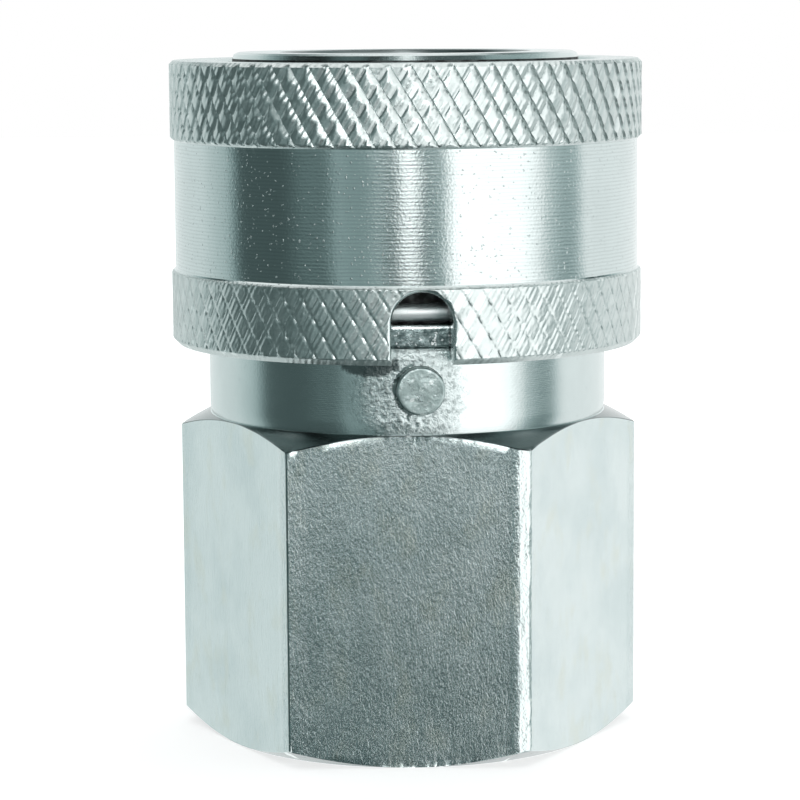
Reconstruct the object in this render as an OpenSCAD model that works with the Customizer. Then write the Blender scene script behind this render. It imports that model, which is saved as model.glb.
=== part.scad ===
// Ball-lock quick disconnect coupler, socket half, straight through, with a sleeve lock.
// Millimetres. The origin is the centre of the threaded end face and +Z runs to the mouth.
// One flat of the hexagon faces -Y.

/* [Body] */
// Width across the flats of the hexagon
hex_af = 27; // [27:0.05:27.2]
// Length of the hexagon
hex_len = 21.8; // [21.4:0.1:21.8]
// Diameter that the corners of the hexagon are turned to
corner_d = 31; // [30.6:0.05:31.05]
// Slope of the chamfer on the hexagon's ends, in degrees
chamfer_angle = 27; // [24:1:32]
// Diameter of the neck behind the sleeve
neck_d = 26.9; // [26.7:0.05:26.9]
// Length of the neck
neck_len = 5.6; // [5.5:0.05:5.7]
// Outer diameter of the tube that carries the balls
tube_d = 23.3; // [23.2:0.05:23.4]
// Length of the body from end to end
body_len = 46; // [45.8:0.05:46.2]
// Diameter of the bore that takes the nipple
nipple_d = 16.4; // [16.35:0.05:16.45]
// Depth of the bore that takes the nipple
nipple_depth = 20.8; // [20.3:0.1:21.3]
// Diameter of the flow passage
flow_d = 12.6; // [11.5:0.1:13]
// Tap drill diameter of the threaded port
port_d = 14.6; // [14.2:0.1:14.8]
// Depth of the threaded port
port_depth = 13.5; // [11:0.5:15]

/* [Sleeve] */
// Diameter over the knurled bands
sleeve_d = 31.8; // [31.7:0.1:32.4]
// Length of the sleeve
sleeve_len = 18.95; // [18.9:0.05:19]
// Diameter between the knurled bands
waist_d = 31.3; // [31:0.1:31.4]
// Width of the knurled band at the mouth
front_band = 5.35; // [4.5:0.05:6]
// Width of the knurled band at the rear
rear_band = 5.05; // [4.9:0.05:5.5]
// How far the sleeve draws back
sleeve_travel = 4.5; // [4.4:0.05:4.55]
// Width of the slot that clears the lock pin
slot_w = 3.9; // [3.6:0.1:4.4]
// Height of the slot
slot_h = 4.65; // [4.5:0.05:4.7]

/* [Lock pin] */
// Diameter of the lock pin
pin_d = 3.1; // [2.6:0.1:3.1]
// How far the pin stands out of the neck
pin_proud = 0.8; // [0.7:0.1:1.2]
// Height of the pin's axis above the hexagon
pin_rise = 2.92; // [2.8:0.02:2.96]
// Turn of the slot and pin from the front flat, in degrees
pin_turn = 3.6; // [0:0.2:10]

/* [Locking balls] */
// Diameter of a locking ball
ball_d = 4.5; // [4.46:0.01:4.52]
// How far a locked ball reaches into the nipple bore
ball_reach = 1; // [0.96:0.01:1]
// How far a ball moves out when it is released
ball_travel = 1.05; // [1:0.01:1.1]

/* [Spring and seals] */
// Thickness of the washer under the spring
washer_t = 1.45; // [1.35:0.05:1.55]
// Wire diameter of the sleeve spring
spring_wire = 1.2; // [0.9:0.05:1.2]
// Coils of the sleeve spring, closed ends included
spring_coils = 2.7; // [2.4:0.1:2.7]
// Wire diameter of the retaining ring
ring_wire = 1.5; // [1.4:0.05:1.6]
// Section diameter of the seal ring
seal_wire = 1.6; // [1.5:0.02:1.64]
// Thickness of the backup ring
backup_t = 1.2; // [1:0.05:1.2]

/* [Hidden] */
ball_count = 8;
$fn = 96;
hole_facets = 64;
ring_facets = 48;
hex_sides = 6;

// Small clearances and edge breaks
edge_break = 0.4;
fine_break = 0.2;
running_gap = 0.1;
touch_gap = 0.05;
hair_gap = 0.02;
overcut = 1;

// Heights of the body
corner_drop = (corner_d - hex_af) / 2 * tan(chamfer_angle);
neck_top = hex_len + neck_len;
port_chamfer = 1.5;
port_mouth_d = port_d + 2 * port_chamfer;
drill_point_angle = 59;
drill_point = (port_d - flow_d) / 2 / tan(drill_point_angle);
seat_z = body_len - nipple_depth;
mouth_lead = 0.2;

// Seal groove
groove_depth = 1.45;
groove_rise = 6.5;
groove_play = 0.4;
groove_d = nipple_d + 2 * groove_depth;
groove_z = seat_z + groove_rise;
groove_w = seal_wire + backup_t + groove_play;
seal_r = groove_d / 2 - seal_wire / 2 - hair_gap;
seal_z = groove_z + seal_wire / 2 + running_gap - hair_gap;
backup_z = groove_z + groove_w - backup_t - running_gap;
backup_id = nipple_d + running_gap;

// Locking balls and the sleeve's inside, which follows from them
ball_inset = 6.8;
seat_step = 0.3;
seat_rise = 0.45;
land_gap = 0.12;
land_len = 1.6;
relief_gap = 0.25;
cone_margin = 0.01;
ball_z = body_len - ball_inset;
ball_r = nipple_d / 2 - ball_reach + ball_d / 2;
seat_d = ball_d - 2 * seat_step;
hole_d = ball_d + running_gap;
seat_top_r = ball_r - seat_rise;
land_d = 2 * (ball_r + ball_d / 2 + land_gap);
cone_slope = ball_travel / sleeve_travel + cone_margin;
cone_len = 2.7;
cone_end_r = land_d / 2 + cone_slope * cone_len;
step_z = ball_z + cone_len;
relief_d = 2 * (ball_r + ball_travel + ball_d / 2 + relief_gap);
chamber_d = neck_d + 2 * running_gap;
land_z = ball_z - land_len;

// Retaining ring, which the inner edge of the sleeve's step rests under
ring_play = 0.15;
ring_r = relief_d / 2 - ring_play - ring_wire / 2;
ring_z = step_z + sqrt(pow(ring_wire / 2 + touch_gap, 2) - pow(cone_end_r - ring_r, 2));
ring_groove_wire = ring_wire + running_gap;
ring_gap_angle = 14;
ring_turn = 150;

// Heights of the sleeve, which stops just short of the hexagon when it is drawn back
stop_gap = 0.25;
sleeve_z = hex_len + sleeve_travel + stop_gap;
sleeve_top = sleeve_z + sleeve_len;
front_band_z = sleeve_top - front_band;
rear_band_top = sleeve_z + rear_band;
band_step = (sleeve_d - waist_d) / 2;

// Lock pin
pin_z = hex_len + pin_rise;
pin_inner_r = 10.2;
pin_outer_r = neck_d / 2 + pin_proud;

// Spring
washer_id = tube_d + 2 * running_gap;
washer_od = neck_d - 2 * running_gap;
spring_r = (washer_id + washer_od) / 4;
spring_bottom = neck_top + washer_t;
spring_len = land_z - spring_bottom;
spring_steps = 24;
spring_sides = 10;
closed_turn = 0.85;
closed_pitch = 0.9;
spring_start = 215;

// Places a child on the pin's and slot's line, which points out of the body along +X
module at_pin_turn() {
    rotate([0, 0, -90 + pin_turn]) children();
}

// A cylinder along +X from one radius to another
module radial_cylinder(from_r, to_r, d1, d2) {
    translate([from_r, 0, 0])
        rotate([0, 90, 0])
            cylinder(h = to_r - from_r, d1 = d1, d2 = d2, $fn = hole_facets);
}

// Outline of the hexagon's turned envelope, neck and tube
module body_outline() {
    polygon([
        [0, 0],
        [hex_af / 2, 0],
        [corner_d / 2, corner_drop],
        [corner_d / 2, hex_len - corner_drop],
        [hex_af / 2, hex_len],
        [neck_d / 2, hex_len],
        [neck_d / 2, neck_top - fine_break],
        [neck_d / 2 - fine_break, neck_top],
        [tube_d / 2, neck_top],
        [tube_d / 2, body_len - edge_break],
        [tube_d / 2 - edge_break, body_len],
        [0, body_len]
    ]);
}

// Outline of everything bored out from the two ends
module bore_outline() {
    polygon([
        [0, -overcut],
        [port_mouth_d / 2 + overcut, -overcut],
        [port_d / 2, port_chamfer],
        [port_d / 2, port_depth],
        [flow_d / 2, port_depth + drill_point],
        [flow_d / 2, seat_z],
        [nipple_d / 2, seat_z],
        [nipple_d / 2, body_len - mouth_lead],
        [nipple_d / 2 + mouth_lead + overcut, body_len + overcut],
        [0, body_len + overcut]
    ]);
}

// A hole for one ball: wide outside, with a conical seat that keeps the ball in
module ball_hole() {
    seat_r = nipple_d / 2 - touch_gap;
    radial_cylinder(seat_r, seat_top_r, seat_d, hole_d);
    radial_cylinder(seat_top_r, tube_d / 2 + overcut, hole_d, hole_d);
    radial_cylinder(nipple_d / 2 - overcut, seat_r, seat_d, seat_d);
}

module body() {
    color([0.72, 0.74, 0.73])
        difference() {
            intersection() {
                rotate_extrude() body_outline();
                union() {
                    cylinder(h = hex_len, d = hex_af / cos(180 / hex_sides), $fn = hex_sides);
                    cylinder(h = body_len + overcut, d = (neck_d + hex_af) / 2);
                }
            }
            rotate_extrude() bore_outline();
            translate([0, 0, groove_z])
                cylinder(h = groove_w, d = groove_d);
            rotate_extrude()
                translate([ring_r, ring_z]) circle(d = ring_groove_wire, $fn = ring_facets);
            for (k = [0 : ball_count - 1])
                translate([0, 0, ball_z])
                    rotate([0, 0, k * 360 / ball_count]) ball_hole();
            translate([0, 0, pin_z])
                at_pin_turn() radial_cylinder(pin_inner_r, neck_d, pin_d, pin_d);
        }
}

// Outline of the sleeve's wall
module sleeve_outline() {
    polygon([
        [chamber_d / 2, sleeve_z + fine_break],
        [chamber_d / 2 + fine_break, sleeve_z],
        [sleeve_d / 2 - edge_break, sleeve_z],
        [sleeve_d / 2, sleeve_z + edge_break],
        [sleeve_d / 2, rear_band_top - band_step],
        [waist_d / 2, rear_band_top],
        [waist_d / 2, front_band_z],
        [sleeve_d / 2, front_band_z + band_step],
        [sleeve_d / 2, sleeve_top - edge_break],
        [sleeve_d / 2 - edge_break, sleeve_top],
        [relief_d / 2 + fine_break, sleeve_top],
        [relief_d / 2, sleeve_top - fine_break],
        [relief_d / 2, step_z],
        [cone_end_r, step_z],
        [land_d / 2, ball_z],
        [land_d / 2, land_z],
        [chamber_d / 2, land_z]
    ]);
}

// The slot in the rear band: straight sides under a round arch
module sleeve_slot() {
    arch_z = sleeve_z + slot_h - slot_w / 2;
    slot_from = chamber_d / 2 - overcut;
    translate([0, 0, arch_z]) radial_cylinder(slot_from, sleeve_d, slot_w, slot_w);
    translate([slot_from, -slot_w / 2, sleeve_z - overcut])
        cube([sleeve_d, slot_w, arch_z - sleeve_z + overcut]);
}

module sleeve() {
    color([0.78, 0.8, 0.79])
        difference() {
            rotate_extrude() sleeve_outline();
            at_pin_turn() sleeve_slot();
        }
}

module lock_pin() {
    color([0.62, 0.64, 0.63])
        translate([0, 0, pin_z])
            at_pin_turn() radial_cylinder(pin_inner_r, pin_outer_r, pin_d, pin_d);
}

module spring_seat_washer() {
    color([0.4, 0.42, 0.42])
        translate([0, 0, neck_top])
            difference() {
                cylinder(h = washer_t, d = washer_od);
                translate([0, 0, -overcut])
                    cylinder(h = washer_t + 2 * overcut, d = washer_id);
            }
}

// Height of the wire's centre after a number of turns: closed ends, then an even pitch
function spring_rise(turns) =
    let (
        open_turns = spring_coils - 2 * closed_turn,
        end_rise = spring_wire * closed_turn * closed_pitch,
        open_rise = spring_len - spring_wire - 2 * end_rise
    )
    turns <= closed_turn ? end_rise * turns / closed_turn
    : turns >= spring_coils - closed_turn
        ? end_rise + open_rise + end_rise * (turns - spring_coils + closed_turn) / closed_turn
    : end_rise + open_rise * (turns - closed_turn) / open_turns;

// One ring of points round the wire
function spring_ring(turns) =
    let (
        turn_angle = spring_start + 360 * turns,
        centre_z = spring_bottom + spring_wire / 2 + spring_rise(turns)
    )
    [for (s = [0 : spring_sides - 1])
        let (
            side_angle = 360 * s / spring_sides,
            point_r = spring_r + spring_wire / 2 * cos(side_angle)
        )
        [point_r * cos(turn_angle), point_r * sin(turn_angle),
         centre_z + spring_wire / 2 * sin(side_angle)]];

module sleeve_spring() {
    ring_total = ceil(spring_coils * spring_steps);
    points = [
        for (i = [0 : ring_total])
            each spring_ring(spring_coils * i / ring_total)
    ];
    sides = [
        for (i = [0 : ring_total - 1], s = [0 : spring_sides - 1])
            let (
                next = (s + 1) % spring_sides,
                here = i * spring_sides,
                there = here + spring_sides
            )
            [here + s, here + next, there + next, there + s]
    ];
    first_end = [for (s = [0 : spring_sides - 1]) spring_sides - 1 - s];
    last_end = [for (s = [0 : spring_sides - 1]) ring_total * spring_sides + s];
    color([0.82, 0.84, 0.84])
        polyhedron(points, concat([first_end], sides, [last_end]), convexity = 10);
}

module retaining_ring() {
    color([0.6, 0.62, 0.62])
        translate([0, 0, ring_z])
            rotate([0, 0, ring_turn])
                rotate_extrude(angle = 360 - ring_gap_angle)
                    translate([ring_r, 0]) circle(d = ring_wire, $fn = ring_facets);
}

module o_ring() {
    color([0.08, 0.08, 0.08])
        translate([0, 0, seal_z])
            rotate_extrude()
                translate([seal_r, 0]) circle(d = seal_wire, $fn = ring_facets);
}

module backup_ring() {
    color([0.92, 0.92, 0.88])
        translate([0, 0, backup_z])
            difference() {
                cylinder(h = backup_t, d = groove_d - 2 * touch_gap);
                translate([0, 0, -overcut])
                    cylinder(h = backup_t + 2 * overcut, d = backup_id);
            }
}

module ball(k) {
    color([0.85, 0.86, 0.87])
        translate([0, 0, ball_z])
            rotate([0, 0, (k - 1) * 360 / ball_count])
                translate([ball_r, 0, 0]) sphere(d = ball_d, $fn = ring_facets);
}

body();
sleeve();
sleeve_spring();
spring_seat_washer();
retaining_ring();
lock_pin();
o_ring();
backup_ring();
for (k = [1 : ball_count])
    ball(k);
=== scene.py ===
import math

import bpy
import numpy as np
from mathutils import Matrix, Vector, noise


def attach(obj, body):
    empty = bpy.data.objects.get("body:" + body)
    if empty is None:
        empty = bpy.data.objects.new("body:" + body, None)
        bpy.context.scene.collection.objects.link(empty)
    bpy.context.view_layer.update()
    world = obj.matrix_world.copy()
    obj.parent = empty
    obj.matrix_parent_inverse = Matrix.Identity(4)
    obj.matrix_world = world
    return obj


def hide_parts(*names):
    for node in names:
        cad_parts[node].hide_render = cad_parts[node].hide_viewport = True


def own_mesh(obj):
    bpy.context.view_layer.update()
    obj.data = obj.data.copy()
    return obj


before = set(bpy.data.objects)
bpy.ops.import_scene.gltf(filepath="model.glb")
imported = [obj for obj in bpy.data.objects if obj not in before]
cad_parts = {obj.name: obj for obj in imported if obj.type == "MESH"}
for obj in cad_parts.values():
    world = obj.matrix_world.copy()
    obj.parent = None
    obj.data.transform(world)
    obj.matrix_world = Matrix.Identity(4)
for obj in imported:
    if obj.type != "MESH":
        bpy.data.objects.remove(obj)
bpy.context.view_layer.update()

# Every length below is in millimetres, in the CAD's frame: the origin is the centre of the
# threaded end face, +Z runs to the mouth and one flat of the hexagon faces -Y.
MM = 0.001

# Camera, fitted to the ellipses of the bands and the hexagon's edges
CAMERA_DISTANCE = 199.1
CAMERA_HEIGHT = 49.2
CAMERA_PITCH = 7.7
CAMERA_YAW = -0.144
CAMERA_ROLL = -0.38
CAMERA_LENS = 132.06

# Body
FLAT_R = 13.5
ROLLED_TILT = math.radians(12)
ROLLED_FROM = 7.14
CORNER_BREAK = 0.045
CHAMFER_SLOPE = math.tan(math.radians(27))
HEX_LEN = 21.8
NECK_R = 13.45
NECK_TOP = 27.4
UNDERCUT_HEIGHT = 0.9
UNDERCUT_DEPTH = 0.08
TUBE_R = 11.65
BODY_LEN = 46.0
NIPPLE_R = 8.2
FLOW_R = 6.3
SEAT_Z = 25.2
GROOVE_R = 9.65
GROOVE_Z = (31.7, 34.9)
PORT_R = 7.3
PORT_MOUTH_R = 8.8
PORT_DEPTH = 13.5
THREAD_PITCH = 25.4 / 18
THREAD_ROOT_R = 8.53
THREAD_TAPER = 1 / 32
THREAD_END = 10.5
BALL_Z = 39.2
BALL_COUNT = 8
BALL_R = 2.25
BALL_CENTRE_R = 9.45

# Lock pin and slot
PIN_TURN = math.radians(-86.4)
PIN_Z = 24.72
PIN_R = 1.55
PIN_INNER = 10.2
PIN_OUTER = 14.25
STAKED_R = 3.4
SLOT_HALF = 1.95
SLOT_ARCH_Z = 29.25

# Sleeve
SLEEVE_Z = 26.55
SLEEVE_TOP = 45.5
CREST_R = 15.9
WAIST_R = 15.65
BAND_STEP = 0.25
REAR_BAND_TOP = 31.6
FRONT_BAND_Z = 40.15
EDGE_BREAK = 0.4
RIM_BREAK = 0.25
CHAMBER_R = 13.55
LAND_R = 11.82
LAND_Z = 37.6
CONE_END_R = 12.477
STEP_Z = 41.9
RELIEF_R = 13.0

# Knurl: two families of grooves that cross, the one that falls to the right cut deeper
RIDGES = 75
KNURL_LEAN = math.tan(math.radians(31))
KNURL_PITCH = 2 * math.pi * CREST_R / RIDGES
COLUMNS_PER_RIDGE = 10
KNURL_ROW = KNURL_PITCH / (2 * COLUMNS_PER_RIDGE * KNURL_LEAN)
STEEP_FLANK = 0.055

# Spring, rings and seals
SPRING_R = 12.55
WIRE_R = 0.6
SPRING_Z = (28.85, 37.6)
SPRING_COILS = 2.7
SPRING_START = math.radians(215)
CLOSED_TURN = 0.85
END_RISE = 0.918
WASHER_R = (11.75, 13.35)
RING_R, RING_Z, RING_WIRE_R = 12.1, 42.606, 0.75
RING_GROOVE_R = 0.8
SEAL_R, SEAL_Z, SEAL_WIRE_R = 8.83, 32.58, 0.8
BACKUP_R = (8.25, 9.6)
BACKUP_Z = (33.6, 34.8)

scene = bpy.context.scene


# ---------------------------------------------------------------- meshes

class Shell:
    """One closed skin, collected ring by ring round the Z axis. Rings go up the outside,
    in over the top, down the inside and out over the bottom, so that the faces look out."""

    def __init__(self):
        self.points = []
        self.faces = []
        self.zones = []

    def ring(self, turns, r, z):
        """Adds a ring of points and returns it as (index of its first point, its angles)."""
        turns = np.asarray(turns, float)
        r = np.broadcast_to(np.asarray(r, float), turns.shape)
        z = np.broadcast_to(np.asarray(z, float), turns.shape)
        first = len(self.points)
        self.points.extend(zip(r * np.cos(turns), r * np.sin(turns), z))
        return first, turns

    def face(self, corners, zone=0):
        self.faces.append(corners)
        self.zones.append(zone)

    def band(self, low, high, zone=0, slanted=False):
        """Joins two rings with the same number of points. zone is one number or one a column."""
        a, b, count = low[0], high[0], len(low[1])
        zones = [zone] * count if isinstance(zone, int) else zone
        for i in range(count):
            j = (i + 1) % count
            if slanted:
                self.face((a + i, a + j, b + j), zones[i])
                self.face((a + i, b + j, b + i), zones[i])
            else:
                self.face((a + i, a + j, b + j, b + i), zones[i])

    def zip(self, low, high, zone=0):
        """Joins two rings with any numbers of points, always taking the nearer next angle."""
        full = 2 * math.pi
        ta = low[1]
        gap = (high[1] - ta[0] + math.pi) % full - math.pi
        start = int(np.argmin(np.abs(gap)))
        tb = np.roll(high[1], -start)
        tb = ta[0] + gap[start] + (tb - tb[0]) % full
        na, nb = len(ta), len(tb)
        ta, tb = np.append(ta, ta[0] + full), np.append(tb, tb[0] + full)
        i = j = 0
        while i < na or j < nb:
            here_a, here_b = low[0] + i % na, high[0] + (start + j) % nb
            if j == nb or (i < na and ta[i + 1] <= tb[j + 1]):
                self.face((here_a, low[0] + (i + 1) % na, here_b), zone)
                i += 1
            else:
                self.face((here_a, high[0] + (start + j + 1) % nb, here_b), zone)
                j += 1

    def lathe(self, profile, turns, zone=0, closed=True):
        """Turns a profile of (r, z) points. Returns its rings."""
        rings = [self.ring(turns, r, z) for r, z in profile]
        for low, high in zip_pairs(rings, closed):
            self.band(low, high, zone)
        return rings


def zip_pairs(items, closed):
    pairs = list(zip(items, items[1:]))
    return pairs + [(items[-1], items[0])] if closed else pairs


def even_turns(count, start=0.0):
    return start + np.arange(count) * 2 * math.pi / count


def make_object(name, points, faces, zones=None, materials=()):
    mesh = bpy.data.meshes.new(name)
    mesh.from_pydata([tuple(MM * c for c in p) for p in points], [], faces)
    for material in materials:
        mesh.materials.append(material)
    if zones is not None:
        mesh.polygons.foreach_set("material_index", zones)
    obj = bpy.data.objects.new(name, mesh)
    scene.collection.objects.link(obj)
    return obj


def shell_object(name, shell, materials=()):
    return make_object(name, shell.points, shell.faces, shell.zones, materials)


def finish_shading(obj, sharp_degrees):
    obj.data.polygons.foreach_set("use_smooth", [True] * len(obj.data.polygons))
    obj.data.set_sharp_from_angle(angle=math.radians(sharp_degrees))
    obj.data.update()


def subtract(obj, cutter, zone):
    """Cuts the cutter out of obj and removes it. The cut faces take that one of obj's materials."""
    for material in obj.data.materials:
        cutter.data.materials.append(material)
    cutter.data.polygons.foreach_set("material_index", [zone] * len(cutter.data.polygons))
    cut = obj.modifiers.new("cut", "BOOLEAN")
    cut.operation = "DIFFERENCE"
    cut.solver = "MANIFOLD"
    cut.object = cutter
    bpy.context.view_layer.update()
    shaped = obj.evaluated_get(bpy.context.evaluated_depsgraph_get())
    mesh = bpy.data.meshes.new_from_object(shaped)
    obj.modifiers.clear()
    obj.data = mesh
    bpy.data.objects.remove(cutter)


def dress(obj, body, node, sharp_degrees=35, material=None):
    """Shading and material, then the body that the piece rides on and the node it replaces."""
    if material is not None:
        obj.data.materials.append(material)
    finish_shading(obj, sharp_degrees)
    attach(obj, body)
    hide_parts(node)
    return obj


def circle(sides):
    """Cosine and sine of even steps round a circle."""
    return [(math.cos(2 * math.pi * i / sides), math.sin(2 * math.pi * i / sides))
            for i in range(sides)]


def tube_faces(rows, sides, start_cap=True, end_cap=True):
    """Faces of a tube whose points come row by row, and of the caps over its ends."""
    faces = []
    for k in range(rows - 1):
        a, b = k * sides, (k + 1) * sides
        for i in range(sides):
            j = (i + 1) % sides
            faces.append((a + i, a + j, b + j, b + i))
    if start_cap:
        faces.append(tuple(range(sides))[::-1])
    if end_cap:
        last = (rows - 1) * sides
        faces.append(tuple(range(last, last + sides)))
    return faces


def placed_round(points, turn, height, out=0.0):
    """Points made along X, moved out, turned round the axis and raised."""
    c, s = math.cos(turn), math.sin(turn)
    return [((x + out) * c - y * s, (x + out) * s + y * c, z + height) for x, y, z in points]


def wire_object(name, stations, coil_r, wire_r, sides):
    """A round wire. A station is its angle, its height and its share of the wire's radius."""
    points = []
    for angle, height, share in stations:
        for c, s in circle(sides):
            r = coil_r + share * wire_r * c
            z = height + share * wire_r * s
            points.append((r * math.cos(angle), r * math.sin(angle), z))
    return make_object(name, points, tube_faces(len(stations), sides))


def speckle(x, y, z, scale):
    """Smooth noise from -1 to 1."""
    return noise.noise(Vector((x, y, z)) * scale)


def groove(phase, before, after):
    """How deep a V groove is, 0 to 1. phase counts pitches; before and after are the widths of
    its two flanks, as shares of a pitch."""
    off = phase - np.round(phase)
    return np.clip(1 - np.where(off < 0, -off / before, off / after), 0, 1)


# ---------------------------------------------------------------- sleeve

def knurl_depth(turns, z, coarse):
    """Depth of both families of grooves under the crest."""
    along = turns * RIDGES / (2 * math.pi)
    lean = (z - SLEEVE_Z) * KNURL_LEAN / KNURL_PITCH
    if coarse:
        falling = 0.16 * groove(along + lean, 0.35, STEEP_FLANK)
        rising = 0.11 * groove(along - lean, 0.25, 0.2)
    else:
        falling = 0.045 * groove(along + lean, 0.1, STEEP_FLANK)
        rising = 0.05 * groove(along - lean, 0.12, 0.12)
        rising = np.maximum(rising, 0.03 * groove(2 * (along - lean) + 0.5, 0.3, 0.3))
    return np.maximum(falling, rising)


def band_radius(z):
    """Outline of the sleeve's outside, with the steps at its bands."""
    heights = [
        SLEEVE_Z, SLEEVE_Z + EDGE_BREAK, REAR_BAND_TOP - BAND_STEP, REAR_BAND_TOP,
        FRONT_BAND_Z, FRONT_BAND_Z + BAND_STEP, SLEEVE_TOP - RIM_BREAK, SLEEVE_TOP,
    ]
    radii = [
        CREST_R - EDGE_BREAK, CREST_R, CREST_R, WAIST_R,
        WAIST_R, CREST_R, CREST_R, CREST_R - RIM_BREAK,
    ]
    return np.interp(z, heights, radii)


def band_rows(low, high, extra):
    """Heights of a knurled band's rows: even steps that follow the grooves, and the edges."""
    first = math.ceil((low - SLEEVE_Z) / KNURL_ROW)
    last = math.floor((high - SLEEVE_Z) / KNURL_ROW)
    even = [SLEEVE_Z + k * KNURL_ROW for k in range(first, last + 1)]
    kept = [z for z in even if min(abs(z - e) for e in extra) > 0.3 * KNURL_ROW]
    return sorted(kept + list(extra))


def slot_cutter():
    """The slot: straight sides under a round arch, flared at the outer surface."""
    ring = []
    for step in range(25):
        a = math.pi * step / 24
        c, s = math.cos(a), math.sin(a)
        ring.append((SLOT_HALF * c, SLOT_ARCH_Z + SLOT_HALF * s, c, s))
    foot = SLEEVE_Z - 1.0
    for k in (0.66, 0.33, 0.0):
        ring.append((-SLOT_HALF, foot + (SLOT_ARCH_Z - foot) * k, -1.0, 0.0))
    for k in (0.0, 0.33, 0.66):
        ring.append((SLOT_HALF, foot + (SLOT_ARCH_Z - foot) * k, 1.0, 0.0))
    # the lip is rounded: each row is how far it spreads and how deep under the crest it lies
    lip = [(0.0, 0.28), (0.04, 0.15), (0.12, 0.06), (0.6, -0.15)]
    rows = [[(CHAMBER_R - 1.2, x, z) for x, z, c, s in ring]]
    for spread, depth in lip:
        row = []
        for x, z, c, s in ring:
            wide = x + spread * c
            out = math.sqrt((CREST_R - depth) ** 2 - wide ** 2)
            row.append((out, wide, z + spread * s))
        rows.append(row)
    rows.append([(CREST_R + 1.0, wide, z) for out, wide, z in rows[-1]])
    points = [place for row in rows for place in row]
    cutter = make_object("slot_cutter", points, tube_faces(len(rows), len(ring)))
    cutter.data.transform(Matrix.Rotation(PIN_TURN, 4, "Z"))
    return cutter


def build_sleeve(materials):
    shell = Shell()
    count = RIDGES * COLUMNS_PER_RIDGE

    shift = np.zeros(count)
    shift[1::COLUMNS_PER_RIDGE] = STEEP_FLANK - 1 / COLUMNS_PER_RIDGE

    def turns_at(z, number=count):
        return even_turns(number, -(z - SLEEVE_Z) * KNURL_LEAN / CREST_R)

    def fine_ring(z, coarse):
        turns = turns_at(z) + shift * 2 * math.pi / RIDGES
        r = np.minimum(band_radius(z), CREST_R - knurl_depth(turns, z, coarse))
        return shell.ring(turns, r, z)

    rear_edges = (SLEEVE_Z, SLEEVE_Z + EDGE_BREAK, REAR_BAND_TOP - BAND_STEP,
                  REAR_BAND_TOP - 0.4 * BAND_STEP)
    front_edges = (FRONT_BAND_Z + 0.4 * BAND_STEP, FRONT_BAND_Z + BAND_STEP,
                   SLEEVE_TOP - RIM_BREAK, SLEEVE_TOP)
    rear = [fine_ring(z, False) for z in band_rows(rear_edges[0], rear_edges[-1], rear_edges)]
    front = [fine_ring(z, True) for z in band_rows(front_edges[0], front_edges[-1], front_edges)]
    for low, high in zip_pairs(rear, False) + zip_pairs(front, False):
        shell.band(low, high, 0, slanted=True)

    waist_count = 240
    ends = 0.04
    heights = [REAR_BAND_TOP] + list(np.linspace(REAR_BAND_TOP + ends, FRONT_BAND_Z - ends, 9))
    heights.append(FRONT_BAND_Z)
    waist = [shell.ring(turns_at(z, waist_count), WAIST_R, z) for z in heights]
    for low, high in zip_pairs(waist, False):
        shell.band(low, high, 1)
    shell.zip(rear[-1], waist[0], 1)
    shell.zip(waist[-1], front[0], 1)

    inside = shell.lathe([
        (RELIEF_R + 0.2, SLEEVE_TOP), (RELIEF_R + 0.06, SLEEVE_TOP - 0.06),
        (RELIEF_R, SLEEVE_TOP - 0.2), (RELIEF_R, 44.0), (RELIEF_R, STEP_Z),
        (CONE_END_R + 0.05, STEP_Z), (CONE_END_R, STEP_Z - 0.05),
        (LAND_R, BALL_Z), (LAND_R, LAND_Z + 0.05), (LAND_R + 0.05, LAND_Z),
        (CHAMBER_R, LAND_Z), (CHAMBER_R, 34.0), (CHAMBER_R, 30.0),
        (CHAMBER_R, SLEEVE_Z + 0.2), (CHAMBER_R + 0.06, SLEEVE_Z + 0.06),
        (CHAMBER_R + 0.2, SLEEVE_Z),
    ], turns_at(SLEEVE_TOP, 180), 2, closed=False)
    shell.zip(front[-1], inside[0], 2)
    shell.zip(inside[-1], rear[0], 2)

    sleeve = shell_object("sleeve_knurled", shell, materials)
    subtract(sleeve, slot_cutter(), 2)
    return sleeve


# ---------------------------------------------------------------- body

def meeting(first, second):
    """Where two upright planes, each given as (direction, distance), cross: (x, y)."""
    (a, near_a), (b, near_b) = first[:2], second[:2]
    across = math.sin(b - a)
    return ((near_a * math.sin(b) - near_b * math.sin(a)) / across,
            (near_b * math.cos(a) - near_a * math.cos(b)) / across)


def hexagon_planes():
    """The hexagon's sides as (direction, distance from the axis, kind). Every corner is broken,
    and every second flat is rolled off along one of its edges."""
    planes = []
    for k in range(6):
        centre = math.radians(-90 + 60 * k)
        last = (centre, FLAT_R, "flat")
        planes.append(last)
        if k % 2 == 0:
            away = FLAT_R * math.cos(ROLLED_TILT) + ROLLED_FROM * math.sin(ROLLED_TILT)
            last = (centre + ROLLED_TILT, away, "rolled")
            planes.append(last)
        following = centre + math.radians(60)
        x, y = meeting(last, (following, FLAT_R))
        middle = 0.5 * (last[0] + following)
        away = x * math.cos(middle) + y * math.sin(middle) - CORNER_BREAK
        planes.append((middle, away, "corner"))
    return planes


PLANES = hexagon_planes()


def reach_of(plane, turn):
    """How far out along this angle a plane is met."""
    facing = math.cos(turn - plane[0])
    return plane[1] / facing if facing > 0.5 else 99.0


def nearest_plane(turn):
    return min(range(len(PLANES)), key=lambda k: reach_of(PLANES[k], turn))


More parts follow.
